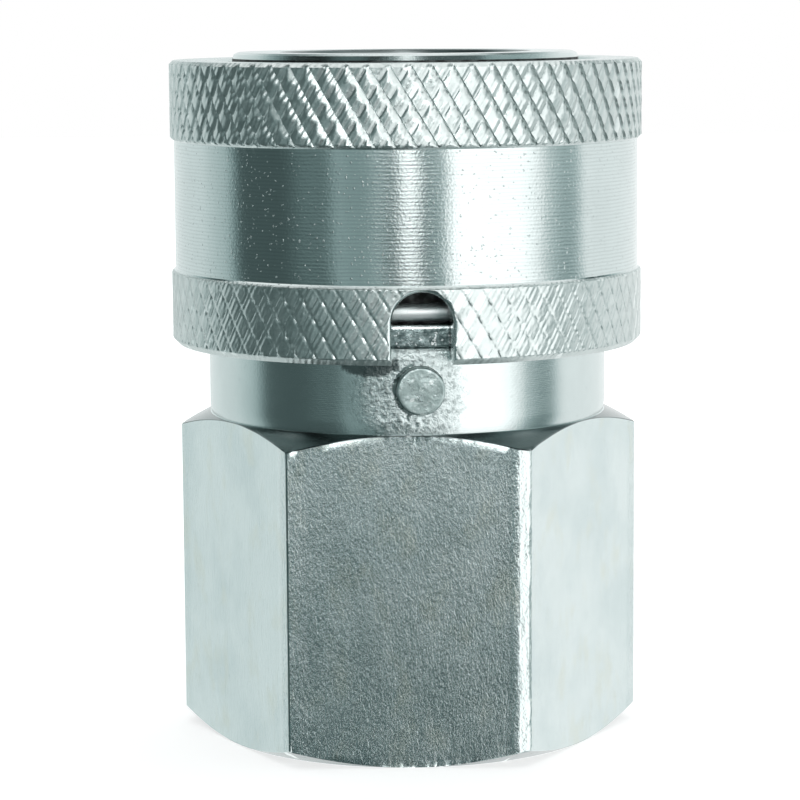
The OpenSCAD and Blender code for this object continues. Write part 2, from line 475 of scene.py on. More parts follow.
def body_columns():
    """Angles of the body's outer columns: close together at the corners and round the pin."""
    edge = [6.3, 6.6, 6.85, 7.0, 7.2, 7.34, 7.46, 7.58, 7.68]
    sides = [-e for e in reversed(edge)] + list(np.linspace(-5.6, 5.6, 13)) + edge
    columns = []
    for k in range(6):
        centre = math.radians(-90 + 60 * k)
        places = sides
        if k == 0:
            near = list(np.linspace(-2.9, 4.5, 62))
            places = [p for p in places if not -3.0 < p < 4.6] + near
        columns += [centre + math.atan(p / FLAT_R) for p in sorted(places)]
    corners = []
    for first, second in zip_pairs(PLANES, True):
        x, y = meeting(first, second)
        corner = math.atan2(y, x)
        corners.append(corner if corner > columns[0] else corner + 2 * math.pi)
    kept = [c for c in columns if min(abs(c - k) for k in corners) > 0.003]
    return np.array(sorted(kept + corners))


def flat_radius(turn, z):
    """Radius of the hexagon: flats and their rolled edges, with small dents."""
    reaches = []
    for k, plane in enumerate(PLANES):
        shift = 0.014 * speckle(k * 7, 0, z, 1.1) if plane[2] != "flat" else 0.0
        reaches.append(reach_of((plane[0], plane[1] + min(0.0, shift), plane[2]), turn))
    k = int(np.argmin(reaches))
    r = reaches[k]
    across = math.degrees(turn) * 0.27
    if PLANES[k][2] == "rolled":
        r -= 0.035 * max(0.0, speckle(across * 4, k, z, 2.6))
    return r + min(0.0, 0.004 * speckle(across, k * 9, z, 0.35))


def neck_sink(turn, z):
    """How far the neck's surface is pressed in or raised where the pin is staked."""
    foot = max(0.0, 1 - (z - HEX_LEN) / UNDERCUT_HEIGHT)
    undercut = UNDERCUT_DEPTH * foot * foot
    s = NECK_R * ((turn - PIN_TURN + math.pi) % (2 * math.pi) - math.pi)
    h = z - PIN_Z
    rho = math.hypot(s, h)
    if rho > STAKED_R:
        return undercut
    angle = math.degrees(math.atan2(h, s)) % 360
    left = max(0.0, math.cos(math.radians(angle - 185)))
    moat = 0.25 * left * math.exp(-((rho - 1.61) / 0.07) ** 2)
    chip_zone = math.exp(-((s + 0.55) / 0.75) ** 2 - ((h + 1.95) / 0.5) ** 2)
    chips = 0.3 * chip_zone * speckle(s, h, 7, 2.3) + 0.14 * chip_zone * speckle(s, h, 3, 5.0)
    lip = -0.012 * math.exp(-((rho - 1.95) / 0.22) ** 2)
    mottle = 0.010 * speckle(s, h, 1, 3.2) * max(0.0, 1 - rho / STAKED_R)
    return undercut + moat + chips + lip + mottle


def thread_ring_rows(shell, count):
    """The tapered pipe thread, its rows following the helix. Returns its top and bottom rings."""
    per_turn = 12
    step = THREAD_PITCH / per_turn
    top = PORT_DEPTH
    rows = math.ceil(top / step) + 2 * per_turn
    turns = even_turns(count)
    columns = []
    for j, turn in enumerate(turns):
        column = []
        for i in range(rows + 1):
            z = (i - per_turn) * step + THREAD_PITCH * j / count
            z = min(max(z, 0.0), top)
            if column and abs(shell.points[column[-1]][2] - z) < 1e-9:
                column.append(column[-1])
                continue
            phase = (z / THREAD_PITCH - j / count) % 1.0
            rise = min(max((abs(phase - 0.5) * 2 - 0.12) / 0.76, 0.0), 1.0)
            root = THREAD_ROOT_R - z * THREAD_TAPER - 0.5 * max(0.0, z - THREAD_END)
            r = max(PORT_R, root - 0.8 * THREAD_PITCH * (1 - rise), PORT_MOUTH_R - z)
            column.append(len(shell.points))
            shell.points.append((r * math.cos(turn), r * math.sin(turn), z))
        columns.append(column)
    for j in range(count):
        shift = per_turn if j == count - 1 else 0
        here, there = columns[j], columns[(j + 1) % count]
        for i in range(rows):
            a, b = here[i], here[i + 1]
            c = there[min(i + 1 + shift, rows)]
            d = there[min(i + shift, rows)]
            corners = tuple(dict.fromkeys((a, b, c, d)))
            if len(corners) > 2:
                shell.face(corners, 2)
    return [c[-1] for c in columns], [c[0] for c in columns]


def radial_plug(profile, turn, height, sides=48):
    """A closed turned solid whose axis points out of the body. profile is (distance, r)."""
    points = [(d, r * c, r * s) for d, r in profile for c, s in circle(sides)]
    return placed_round(points, turn, height), tube_faces(len(profile), sides)


def body_cutter():
    """The holes for the balls, with the seats that keep them in, and the pin's hole."""
    points, faces = [], []
    ball_hole = [(NIPPLE_R - 0.6, BALL_R - 0.3), (NIPPLE_R - 0.05, BALL_R - 0.3),
                 (9.0, BALL_R + 0.05), (TUBE_R - 0.12, BALL_R + 0.05),
                 (TUBE_R + 0.3, BALL_R + 0.3)]
    pin_hole = [(PIN_INNER, PIN_R + 0.03), (NECK_R + 1.0, PIN_R + 0.03)]
    plugs = [radial_plug(ball_hole, 2 * math.pi * k / BALL_COUNT, BALL_Z)
             for k in range(BALL_COUNT)]
    plugs.append(radial_plug(pin_hole, PIN_TURN, PIN_Z, 64))
    for placed, made in plugs:
        first = len(points)
        points += placed
        faces += [tuple(first + i for i in f) for f in made]
    return make_object("body_cutter", points, faces)


def build_body(materials):
    shell = Shell()
    columns = body_columns()
    bevel = 0.07
    nicked = 0.5

    def drop(turn):
        return (flat_radius(turn, 0.0) - FLAT_R) * CHAMFER_SLOPE

    drops = np.array([max(0.0, drop(t)) for t in columns])
    middles = columns + 0.5 * (np.append(columns[1:], columns[0] + 2 * math.pi) - columns)
    flat_zones = [0 if PLANES[nearest_plane(t)][2] == "flat" else 4 for t in middles]
    rows = [(shell.ring(columns, FLAT_R - 0.05, 0.0), 1),
            (shell.ring(columns, FLAT_R + 0.02, 0.03), 1)]
    for share in (0.33, 0.66, 0.97):
        r = FLAT_R + share * drops / CHAMFER_SLOPE
        rows.append((shell.ring(columns, r, 0.03 + share * drops), 5))
    for share in np.linspace(0, 1, 45):
        z = drops + bevel + (HEX_LEN - 2 * drops - 2 * bevel) * share
        r = []
        for turn, height, sunk in zip(columns, z, drops):
            edge = min(height - sunk, HEX_LEN - sunk - height)
            nick = 0.0
            if edge < nicked:
                nick = 0.10 * max(0.0, speckle(turn * 14, height, 2, 2.4) - 0.1)
                nick *= 1 - edge / nicked
            r.append(flat_radius(turn, height) - nick)
        rows.append((shell.ring(columns, r, z), flat_zones))
    for share in (0.97, 0.66, 0.33):
        r = FLAT_R + share * drops / CHAMFER_SLOPE
        rows.append((shell.ring(columns, r, HEX_LEN - 0.02 - share * drops), 5))
    rows.append((shell.ring(columns, NECK_R, HEX_LEN - 0.01), 5))
    for z in np.linspace(HEX_LEN + 0.03, NECK_TOP - 0.2, 44):
        r = [NECK_R - neck_sink(turn, z) for turn in columns]
        rows.append((shell.ring(columns, np.minimum(r, NECK_R + 0.03), z), 1))
    groove_arc = []
    reach = math.asin(math.sqrt(RING_GROOVE_R ** 2 - (RING_R - TUBE_R) ** 2) / RING_GROOVE_R)
    for a in np.linspace(-reach, reach, 9):
        groove_arc.append((RING_R - RING_GROOVE_R * math.cos(a),
                           RING_Z + RING_GROOVE_R * math.sin(a)))
    tube = [(NECK_R - 0.06, NECK_TOP - 0.06), (NECK_R - 0.2, NECK_TOP),
            (TUBE_R + 0.15, NECK_TOP), (TUBE_R, NECK_TOP + 0.15), (TUBE_R, 33.0),
            (TUBE_R, 36.5), (TUBE_R, 40.0)] + groove_arc + [
            (TUBE_R, 44.0), (TUBE_R, BODY_LEN - 0.4), (TUBE_R - 0.12, BODY_LEN - 0.12),
            (TUBE_R - 0.4, BODY_LEN)]
    for r, z in tube:
        # the tube under the sleeve is tinted near black: grease, and painted shade where the sleeve
        # covers it
        grease_and_shade = NECK_TOP + 0.1 < z < BODY_LEN - 0.15
        rows.append((shell.ring(columns, r, z), 3 if grease_and_shade else 1))
    for (low, _), (high, zone) in zip_pairs(rows, False):
        shell.band(low, high, zone)

    bore_count = 144
    turns = even_turns(bore_count)
    bore = shell.lathe([
        (NIPPLE_R + 0.25, BODY_LEN), (NIPPLE_R + 0.07, BODY_LEN - 0.07),
        (NIPPLE_R, BODY_LEN - 0.25), (NIPPLE_R, 42.0), (NIPPLE_R, 36.4),
        (NIPPLE_R, GROOVE_Z[1] + 0.05), (NIPPLE_R + 0.05, GROOVE_Z[1]),
        (GROOVE_R, GROOVE_Z[1]), (GROOVE_R, GROOVE_Z[0]),
        (NIPPLE_R + 0.05, GROOVE_Z[0]), (NIPPLE_R, GROOVE_Z[0] - 0.05), (NIPPLE_R, SEAT_Z),
        (FLOW_R + 0.1, SEAT_Z), (FLOW_R, SEAT_Z - 0.1), (FLOW_R, 19.0), (FLOW_R, 14.10),
    ], turns, 2, closed=False)
    shell.zip(rows[-1][0], bore[0], 1)
    top, bottom = thread_ring_rows(shell, bore_count)
    mouth = shell.ring(turns, PORT_MOUTH_R + 0.1, 0.0)
    for i in range(bore_count):
        j = (i + 1) % bore_count
        shell.face((bore[-1][0] + i, bore[-1][0] + j, top[j], top[i]), 2)
    for i in range(bore_count):
        j = (i + 1) % bore_count
        shell.face((bottom[i], bottom[j], mouth[0] + j, mouth[0] + i), 1)
    shell.zip(mouth, rows[0][0], 1)

    body = shell_object("body_turned", shell, materials)
    subtract(body, body_cutter(), 3)
    return body


# ---------------------------------------------------------------- small parts

def build_pin():
    """The lock pin, with its sheared outer face, a worn rim and a domed burr."""
    sides = 72
    side_rings = [(PIN_INNER, PIN_R - 0.2), (PIN_INNER + 0.2, PIN_R), (13.2, PIN_R),
                  (PIN_OUTER - 0.14, PIN_R), (PIN_OUTER - 0.06, PIN_R - 0.02),
                  (PIN_OUTER - 0.02, PIN_R - 0.06)]
    face_rings = [(PIN_OUTER, r) for r in np.linspace(PIN_R - 0.12, 0.12, 14)]
    points = []
    for d, r in side_rings + face_rings:
        for c, s in circle(sides):
            y, z = r * c, r * s
            sunk = 0.0
            if d > PIN_OUTER - 0.15:
                sunk = 0.03 * (1 + speckle(y + 3.7, z + 1.3, 2, 0.9))
                sunk += 0.006 * (1 + speckle(y + 3.7, z + 1.3, 5, 4.0))
            points.append((d - sunk, y, z))
    rings = len(side_rings) + len(face_rings)
    faces = tube_faces(rings, sides, end_cap=False)
    last = (rings - 1) * sides
    middle = len(points)
    points.append((PIN_OUTER - 0.036 - 0.03 * speckle(3.7, 1.3, 2, 0.9), 0.0, 0.0))
    for i in range(sides):
        faces.append((last + i, last + (i + 1) % sides, middle))
    return make_object("lock_pin_staked", placed_round(points, PIN_TURN, PIN_Z), faces)


def spring_rise(turn_number):
    """How far the wire's centre has risen after that many turns: closed, open, closed."""
    open_turns = SPRING_COILS - 2 * CLOSED_TURN
    open_rise = SPRING_Z[1] - SPRING_Z[0] - 2 * WIRE_R - 2 * END_RISE
    if turn_number <= CLOSED_TURN:
        return END_RISE * turn_number / CLOSED_TURN
    if turn_number >= SPRING_COILS - CLOSED_TURN:
        past = turn_number - SPRING_COILS + CLOSED_TURN
        return END_RISE + open_rise + END_RISE * past / CLOSED_TURN
    return END_RISE + open_rise * (turn_number - CLOSED_TURN) / open_turns


def build_spring():
    """The wire with rounded cut ends."""
    steps = 256
    tip = 0.0015
    rows = [(0.0, 0.72), (tip, 0.93)]
    rows += [(k * SPRING_COILS / steps, 1.0) for k in range(1, steps)]
    rows += [(SPRING_COILS - tip, 0.93), (SPRING_COILS, 0.72)]
    stations = []
    for turn_number, share in rows:
        angle = SPRING_START + 2 * math.pi * turn_number
        stations.append((angle, SPRING_Z[0] + WIRE_R + spring_rise(turn_number), share))
    return wire_object("sleeve_spring_wire", stations, SPRING_R, WIRE_R, 20)


def build_washer(materials):
    """The spring's seat washer: stamped, rough and pitted on its edge, with a painted highlight on its
    top rim.
    """
    shell = Shell()
    turns = even_turns(540)
    inner, outer = WASHER_R
    low, high = NECK_TOP, SPRING_Z[0]
    outline = [(inner, low + 0.1), (inner + 0.1, low), (outer - 0.16, low), (outer - 0.04, low + 0.07)]
    outline += [(outer, z) for z in np.linspace(low + 0.14, high - 0.21, 14)]
    outline += [(outer - 0.03, high - 0.08), (outer - 0.06, high - 0.02), (outer - 0.12, high),
                (outer - 0.5, high), (inner + 0.1, high), (inner, high - 0.1)]
    rings = []
    for r, z in outline:
        radii = []
        for turn in turns:
            rough = 0.0
            if r > outer - 0.13:
                x, y = outer * math.cos(turn), outer * math.sin(turn)
                rough = 0.035 * max(0.0, speckle(x, y, z, 1.9))
                rough += 0.03 * max(0.0, speckle(x + 9, y, z, 4.4) - 0.15)
            radii.append(r - rough)
        rings.append(shell.ring(turns, radii, z))
    # the rings of the top rim take the pale second material, a painted highlight; the rest take the
    # dark first material, painted shade
    worn = [1 if r > outer - 0.1 and z > high - 0.25 else 0 for r, z in outline]
    for k, (lower, upper) in enumerate(zip_pairs(rings, True)):
        shell.band(lower, upper, worn[k])
    return shell_object("spring_seat_washer_stamped", shell, materials)


def build_retaining_ring():
    """Round-wire snap ring with a gap and chamfered ends."""
    steps = 150
    start = math.radians(150)
    gap_degrees = 14
    span = math.radians(360 - gap_degrees)
    rows = [(0.0, 0.7), (0.006, 0.94)]
    rows += [(0.012 + (span - 0.024) * k / steps, 1.0) for k in range(steps + 1)]
    rows += [(span - 0.006, 0.94), (span, 0.7)]
    stations = [(start + along, RING_Z, share) for along, share in rows]
    return wire_object("retaining_ring_wire", stations, RING_R, RING_WIRE_R, 24)


def build_seal():
    """Moulded ring with a fine flash line inside and outside."""
    shell = Shell()
    outline = []
    sides = 36
    for i, (c, s) in enumerate(circle(sides)):
        trim = 0.012 if i % (sides // 2) else 0.0
        outline.append((SEAL_R + (SEAL_WIRE_R - trim) * c, SEAL_Z + (SEAL_WIRE_R - trim) * s))
    shell.lathe(outline, even_turns(160))
    return shell_object("o_ring_moulded", shell)


def build_backup_ring():
    """A flat plastic ring with broken edges."""
    shell = Shell()
    inner, outer = BACKUP_R
    low, high = BACKUP_Z
    chamfer = 0.08
    shell.lathe([
        (inner + chamfer, low), (outer - chamfer, low), (outer, low + chamfer),
        (outer, high - chamfer), (outer - chamfer, high), (inner + chamfer, high),
        (inner, high - chamfer), (inner, low + chamfer),
    ], even_turns(160))
    return shell_object("backup_ring_cut", shell)


def build_ball(number):
    """A polished ball whose rows run round the hole's line."""
    turn = 2 * math.pi * (number - 1) / BALL_COUNT
    rows, sides = 40, 56
    points = []
    for k in range(1, rows):
        a = math.pi * k / rows
        for c, s in circle(sides):
            points.append((-BALL_R * math.cos(a), BALL_R * math.sin(a) * c,
                           BALL_R * math.sin(a) * s))
    faces = tube_faces(rows - 1, sides, start_cap=False, end_cap=False)
    near, far = len(points), len(points) + 1
    points += [(-BALL_R, 0, 0), (BALL_R, 0, 0)]
    last = (rows - 2) * sides
    for i in range(sides):
        j = (i + 1) % sides
        faces.append((near, j, i))
        faces.append((far, last + i, last + j))
    placed = placed_round(points, turn, BALL_Z, BALL_CENTRE_R)
    return make_object(f"ball_{number}_polished", placed, faces)


# ---------------------------------------------------------------- materials

class Graph:
    """A short way to write a node tree."""

    def __init__(self, owner):
        owner.use_nodes = True
        self.tree = owner.node_tree
        self.tree.nodes.clear()

    def put(self, socket, value):
        if isinstance(value, bpy.types.NodeSocket):
            self.tree.links.new(value, socket)
        else:
            socket.default_value = value

    def node(self, kind, **settings):
        made = self.tree.nodes.new(kind)
        for key, value in settings.items():
            setattr(made, key, value)
        return made

    def wired(self, kind, values, out=0, **settings):
        """Makes a node, fills its sockets by name or number and returns one of its outputs."""
        made = self.node(kind, **settings)
        for socket, value in values.items():
            self.put(made.inputs[socket], value)
        return made.outputs[out]

    def math(self, operation, *values):
        return self.wired("ShaderNodeMath", dict(enumerate(values)), operation=operation)

    def scaled(self, vector, scale):
        return self.wired("ShaderNodeVectorMath", {0: vector, 1: scale}, operation="MULTIPLY")

    def distance(self, first, second):
        values = {0: first, 1: second}
        return self.wired("ShaderNodeVectorMath", values, "Value", operation="DISTANCE")

    def noise(self, vector, scale, detail=3.0, roughness=0.55):
        return self.wired("ShaderNodeTexNoise", {
            "Vector": vector, "Scale": scale, "Detail": detail, "Roughness": roughness})

    def times(self, first, second):
        return self.math("MULTIPLY", first, second)

    def drawn(self, vector, stretch, detail, roughness=0.55):
        """Noise drawn out or squeezed along the axes."""
        return self.noise(self.scaled(vector, stretch), 1.0, detail, roughness)

    def ramp(self, value, low, high, to_low=0.0, to_high=1.0):
        values = {"From Min": low, "From Max": high, "To Min": to_low, "To Max": to_high,
                  "Value": value}
        return self.wired("ShaderNodeMapRange", values, "Result",
                          interpolation_type="SMOOTHSTEP")

    def mix(self, share, first, second):
        return self.wired("ShaderNodeMix", {0: share, 6: first, 7: second}, 2, data_type="RGBA")

    def place(self, kind):
        return self.node("ShaderNodeTexCoord").outputs[kind]

    def parts(self, vector):
        made = self.node("ShaderNodeSeparateXYZ")
        self.put(made.inputs[0], vector)
        return made.outputs

    def pointiness(self):
        return self.node("ShaderNodeNewGeometry").outputs["Pointiness"]

    def bump(self, height, distance, under=None):
        """distance is in millimetres."""
        values = {"Height": height, "Distance": distance * MM, "Strength": 1.0}
        if under is not None:
            values["Normal"] = under
        return self.wired("ShaderNodeBump", values)


def rgb(red, green, blue):
    return (red, green, blue, 1.0)


def shade(tint, share):
    """The tint, darker or paler."""
    return rgb(*[c * share for c in tint])


WORN_EDGE = (0.53, 0.62)
WORN_NICKEL = rgb(0.82, 0.87, 0.86)


def start_material(name, metallic=1.0):
    """A material with its shader, and the place on the piece in millimetres."""
    material = bpy.data.materials.new(name)
    g = Graph(material)
    shader = g.node("ShaderNodeBsdfPrincipled")
    g.put(g.node("ShaderNodeOutputMaterial").inputs["Surface"], shader.outputs["BSDF"])
    shader.inputs["Metallic"].default_value = metallic
    place = g.scaled(g.place("Object"), (1 / MM,) * 3)
    return material, g, shader, place


def set_surface(g, shader, colour, roughness, normal):
    g.put(shader.inputs["Base Color"], colour)
    g.put(shader.inputs["Roughness"], roughness)
    g.put(shader.inputs["Normal"], normal)


def wear(g, low, high):
    """1 on edges that stand out, 0 elsewhere."""
    return g.ramp(g.pointiness(), low, high)


def turned_lines(g, place, pitch, wobble):
    """Fine feed lines of a turned surface, as a height from 0 to 1."""
    drift = g.noise(place, 0.35, 2.0)
    along = g.math("MULTIPLY_ADD", drift, wobble, g.parts(place)[2])
    wave = g.math("SINE", g.times(along, 2 * math.pi / pitch))
    return g.math("MULTIPLY_ADD", wave, 0.5, 0.5)


def nickel(name, tint, rough, line_pitch, line_height, streak, anisotropic=0.0, grain=0.004,
           line_tone=0.0, pits=0.0, staked=False, worn=True, hollow_shade=0.0):
    """Nickel plate over a turned surface. Pitches and heights are in millimetres; line_tone is
    how dark the feed lines are, and the last argument how dark the painted shade in the hollows is."""
    material, g, shader, place = start_material(name)
    shader.inputs["Anisotropic"].default_value = anisotropic
    shader.inputs["Anisotropic Rotation"].default_value = 0.25
    tangent = g.wired("ShaderNodeTangent", {}, direction_type="RADIAL", axis="Z")
    g.put(shader.inputs["Tangent"], tangent)
    cloud = g.noise(place, 0.28, 3.0)
    fine = g.drawn(place, (0.5, 0.5, 9.0), 4.0, 0.65)
    spots = g.ramp(g.noise(place, 2.6, 3.0, 0.6), 0.63, 0.72)
    colour = g.mix(g.ramp(cloud, 0.35, 0.65), rgb(*tint), shade(tint, 1.04))
    colour = g.mix(g.times(spots, 0.35), colour, shade(tint, 0.84))
    if worn:
        colour = g.mix(wear(g, *WORN_EDGE), colour, WORN_NICKEL)
    varied = g.math("MULTIPLY_ADD", fine, 0.10, rough - 0.05)
    roughness = g.math("MULTIPLY_ADD", spots, 0.12, varied)
    lines = turned_lines(g, place, line_pitch, 0.12)
    if line_tone > 0:
        trough = g.times(g.math("POWER", lines, 2.0), line_tone)
        colour = g.mix(g.times(trough, fine), colour, shade(tint, 0.35))
    # painted shade: concave hollows, such as the corners where the waist meets the knurled bands, are
    # darkened in the colour
    if hollow_shade > 0:
        hollow = g.ramp(g.pointiness(), 0.485, 0.455, 0.0, hollow_shade)
        colour = g.mix(hollow, colour, rgb(0.06, 0.08, 0.08))
    gaps = g.ramp(g.drawn(place, (0.5, 0.5, 2.0), 2.0), 0.3, 0.6, 0.25, 1.0)
    normal = g.bump(g.times(lines, gaps), line_height)
    normal = g.bump(fine, streak, normal)
    normal = g.bump(g.noise(place, 6.0, 2.0), grain, normal)
    if pits > 0:
        pit = g.ramp(g.noise(place, 6.0, 0.0), 0.75, 0.84)
        normal = g.bump(pit, pits, normal)
        varied = g.math("MULTIPLY_ADD", pit, 0.12, varied)
        roughness = varied
    if staked:
        near, dents = staking(g, place)
        normal = g.bump(g.times(dents, near), 0.09, normal)
        patch = g.times(near, g.ramp(dents, 0.53, 0.58))
        colour = g.mix(g.times(patch, 0.6), colour, rgb(0.17, 0.21, 0.21))
        # painted shadow: a dark patch on the neck just under the sleeve's edge, left of the pin
        sleeve_shadow = g.times(sleeve_shadow_patch(g, place, dents), 0.9)
        colour = g.mix(sleeve_shadow, colour, rgb(0.08, 0.10, 0.10))
        roughness = g.math("MULTIPLY_ADD", near, 0.12, varied)
    set_surface(g, shader, colour, roughness, normal)
    return material


def staking(g, place):
    """How near the staked lock pin is, 0 to 1, and the hammered dents round it."""
    pin = (NECK_R * math.cos(PIN_TURN) - 0.6, NECK_R * math.sin(PIN_TURN), PIN_Z - 0.3)
    near = g.ramp(g.distance(place, pin), 4.4, 2.4)
    return near, g.noise(place, 2.8, 4.0, 0.65)


def sleeve_shadow_patch(g, place, dents):
    """A low, ragged patch of painted shadow on the neck, left of the pin and just under the sleeve's
    edge, which shades it.
    """
    flattened = 2.4
    turn = PIN_TURN - 3.3 / NECK_R
    middle_z = (SLEEVE_Z - 0.2) * flattened
    middle = (NECK_R * math.cos(turn), NECK_R * math.sin(turn), middle_z)
    off = g.distance(g.scaled(place, (1.0, 1.0, flattened)), middle)
    return g.ramp(g.math("MULTIPLY_ADD", dents, -1.2, off), 1.5, 1.0)


def knurled_nickel():
    """The knurled bands: fine lines that rise to the right lie inside the diamonds."""
    material, g, shader, place = start_material("nickel_knurled")
    x, y, z = g.parts(place)
    turn = g.math("ARCTAN2", y, x)
    lines_per_ridge = 3
    lean = g.times(z, -lines_per_ridge * 2 * math.pi * KNURL_LEAN / KNURL_PITCH)
    wave = g.math("SINE", g.math("MULTIPLY_ADD", turn, float(lines_per_ridge * RIDGES), lean))
    lines = g.math("MULTIPLY_ADD", wave, 0.5, 0.5)
    patchy = g.ramp(g.noise(place, 0.9, 2.0), 0.35, 0.6)
    lines = g.times(lines, patchy)
    cloud = g.noise(place, 1.4, 3.0)
    colour = g.mix(g.ramp(cloud, 0.35, 0.7), rgb(0.59, 0.65, 0.64), rgb(0.69, 0.745, 0.735))
    colour = g.mix(wear(g, 0.52, 0.6), colour, rgb(0.84, 0.89, 0.88))
    # painted shade: the knurl's grooves and hollows are darkened in the colour
    groove_shade = g.ramp(g.pointiness(), 0.47, 0.40, 0.0, 0.6)
    colour = g.mix(groove_shade, colour, rgb(0.30, 0.36, 0.36))
    normal = g.bump(lines, 0.026)
    normal = g.bump(g.noise(place, 6.0, 3.0), 0.012, normal)
    set_surface(g, shader, colour, g.math("MULTIPLY_ADD", cloud, 0.16, 0.27), normal)
    return material


def flat_nickel():
    """The hexagon's drawn flats: fine upright streaks and grain, rougher beside the corners."""
    material, g, shader, place = start_material("nickel_flats")
    streaks = g.drawn(place, (5.0, 5.0, 0.7), 4.0, 0.6)
    grain = g.drawn(place, (6.5, 6.5, 3.0), 3.0, 0.8)
    cloud = g.noise(place, 0.16, 3.0)
    stain = g.ramp(g.drawn(place, (0.5, 0.5, 0.3), 2.0), 0.5, 0.75)
    colour = g.mix(g.ramp(cloud, 0.35, 0.65), rgb(0.62, 0.70, 0.70), rgb(0.70, 0.77, 0.765))
    colour = g.mix(g.times(stain, 0.5), colour, rgb(0.66, 0.70, 0.63))
    colour = g.mix(wear(g, *WORN_EDGE), colour, WORN_NICKEL)
    varied = g.math("MULTIPLY_ADD", streaks, 0.10, 0.09)
    patchy = g.ramp(g.drawn(place, (0.5, 0.5, 0.35), 3.0), 0.4, 0.62)
    roughness = g.math("MULTIPLY_ADD", patchy, 0.05, varied)
    x, y, _ = g.parts(place)
    turn = g.math("ARCTAN2", y, x)
    # 0.5 is a corner of the hexagon; 0 and 1 are the middles of the flats on its two sides
    sixth = g.math("FRACT", g.math("MULTIPLY_ADD", turn, 3 / math.pi, 6.5))
    from_corner = g.math("ABSOLUTE", g.math("SUBTRACT", sixth, 0.5))
    beside = g.ramp(from_corner, 0.075, 0.035)
    beside = g.times(beside, g.ramp(sixth, 0.49, 0.51, 1.0, 0.3))
    dents = g.drawn(place, (3.6, 3.6, 2.2), 3.0, 0.7)
    normal = g.bump(streaks, 0.014)
    normal = g.bump(grain, 0.024, normal)
    normal = g.bump(g.times(dents, beside), 0.06, normal)
    set_surface(g, shader, colour, roughness, normal)
    return material


def rough_steel(name, tint, dark, rough, scale, height, specks=0.0):
    """Mottled steel: sheared, greased, or tinted dark or pale as painted shade and painted highlight.
    """
    material, g, shader, place = start_material(name)
    blotch = g.ramp(g.noise(place, scale, 4.0, 0.6), 0.36, 0.64)
    colour = g.mix(blotch, rgb(*dark), rgb(*tint))
    colour = g.mix(wear(g, *WORN_EDGE), colour, rgb(0.80, 0.86, 0.85))
    if specks > 0:
        speck = g.ramp(g.noise(place, 4.2, 1.0), 0.62, 0.68, 0.0, specks)
        colour = g.mix(speck, colour, rgb(0.93, 0.96, 0.96))
    roughness = g.math("MULTIPLY_ADD", blotch, -0.15, rough)
    normal = g.bump(g.noise(place, scale * 2.2, 4.0, 0.6), height)
    set_surface(g, shader, colour, roughness, normal)
    return material


def drawn_wire(name, tint, rough):
    """Drawn wire: faint lines along it and small die marks."""
    material, g, shader, place = start_material(name)
    lines = g.drawn(place, (0.6, 0.6, 12.0), 3.0)
    specks = g.ramp(g.noise(place, 4.0, 3.0), 0.6, 0.72)
    colour = g.mix(g.times(specks, 0.4), rgb(*tint), shade(tint, 0.6))
    roughness = g.math("MULTIPLY_ADD", lines, 0.12, rough)
    set_surface(g, shader, colour, roughness, g.bump(lines, 0.006))
    return material


def soft_material(name, tint, light, rough, height):
    """Rubber or plastic: faint mould or cutting marks and dust."""
    material, g, shader, place = start_material(name, metallic=0.0)
    dust = g.ramp(g.noise(place, 3.0, 3.0), 0.55, 0.75)
    lines = g.drawn(place, (0.8, 0.8, 7.0), 3.0)
    colour = g.mix(dust, rgb(*tint), rgb(*light))
    roughness = g.math("MULTIPLY_ADD", dust, 0.2, rough)
    set_surface(g, shader, colour, roughness, g.bump(lines, height))
    return material


def polished_ball():
    """Bearing steel: a faint haze and a few fine scratches."""
    material, g, shader, place = start_material("ball_polish")
    haze = g.noise(place, 1.5, 4.0, 0.7)
    scratches = g.ramp(g.drawn(place, (14.0, 2.0, 3.0), 3.0), 0.62, 0.7)
    scratched = g.times(scratches, 0.3)
    colour = g.mix(scratched, rgb(0.74, 0.75, 0.76), rgb(0.5, 0.5, 0.5))
    roughness = g.math("MULTIPLY_ADD", haze, 0.08, 0.05)
    set_surface(g, shader, colour, roughness, g.bump(scratches, 0.001))
    return material


# ---------------------------------------------------------------- studio

def build_camera():
    """The camera stands at -Y, turned by the fitted pitch, yaw and roll."""
    pitch, yaw, roll = (math.radians(a) for a in (CAMERA_PITCH, CAMERA_YAW, CAMERA_ROLL))
    forward = Vector((math.sin(yaw) * math.cos(pitch), math.cos(yaw) * math.cos(pitch),
                      -math.sin(pitch)))
    right = Vector((math.cos(yaw), -math.sin(yaw), 0.0))
    up = right.cross(forward)
    across = right * math.cos(roll) + up * math.sin(roll)
    upright = up * math.cos(roll) - right * math.sin(roll)
    turn = Matrix((across, upright, -forward)).transposed()
    data = bpy.data.cameras.new("camera")
    data.lens = CAMERA_LENS
    data.sensor_width = 36.0
    data.clip_start = 0.005
    data.clip_end = 20.0
    camera = bpy.data.objects.new("camera", data)
    scene.collection.objects.link(camera)
    place = Vector((0.0, -CAMERA_DISTANCE, CAMERA_HEIGHT)) * MM
    camera.matrix_world = Matrix.Translation(place) @ turn.to_4x4()
    scene.camera = camera


# The studio that the metal reflects, round the object: each row is where a soft panel or
# dark flag starts, in degrees from the camera's side towards +X, and how bright it is.
STUDIO_ROUND = [
    (-180, 1.0), (-120, 0.88), (-98, 0.62), (-89, 0.12), (-39, 0.11), (-33, 0.4),
    (-14, 0.36), (-8, 0.06), (9, 0.06), (13, 0.27), (17, 0.38), (24, 1.85), (58, 1.7),
    (74, 0.48), (84, 0.22), (92, 0.3), (100, 1.08), (180, 1.08),
]


STUDIO_TOP = 4.0

